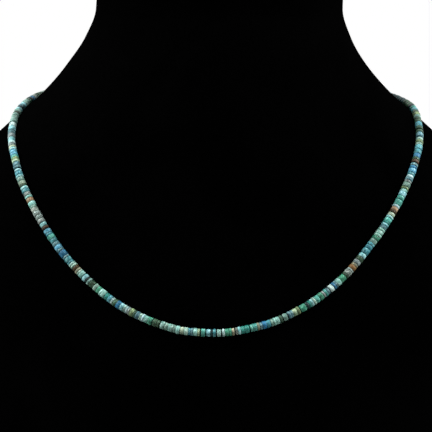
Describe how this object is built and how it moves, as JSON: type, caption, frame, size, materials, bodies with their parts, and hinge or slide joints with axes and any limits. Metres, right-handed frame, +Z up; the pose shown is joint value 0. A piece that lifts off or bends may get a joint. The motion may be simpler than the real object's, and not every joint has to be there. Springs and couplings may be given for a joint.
{
  "type": "beaded necklace on a neck bust",
  "caption": "Single strand of small stone drum beads with a plain barrel clasp, worn by a plain black neck bust that stands on its flat base.",
  "frame": {"origin": "middle of the bust's flat base, which is the bottom centre of the bounding box", "axes": "+Z up the neck, -Y to the front of the bust, +X to the right in the picture"},
  "size_m": [0.212, 0.156, 0.226],
  "materials": {
    "bust_velvet": "black short-pile velvet",
    "bead_stone": "semi-polished stone in blues, greens, creams and browns",
    "clasp_metal": "polished silver"
  },
  "bodies": {
    "root": {"neck_bust": "bust_velvet", "bead_string_left": "bead_stone", "bead_string_right": "bead_stone", "clasp": "clasp_metal"}
  },
  "joints": []
}
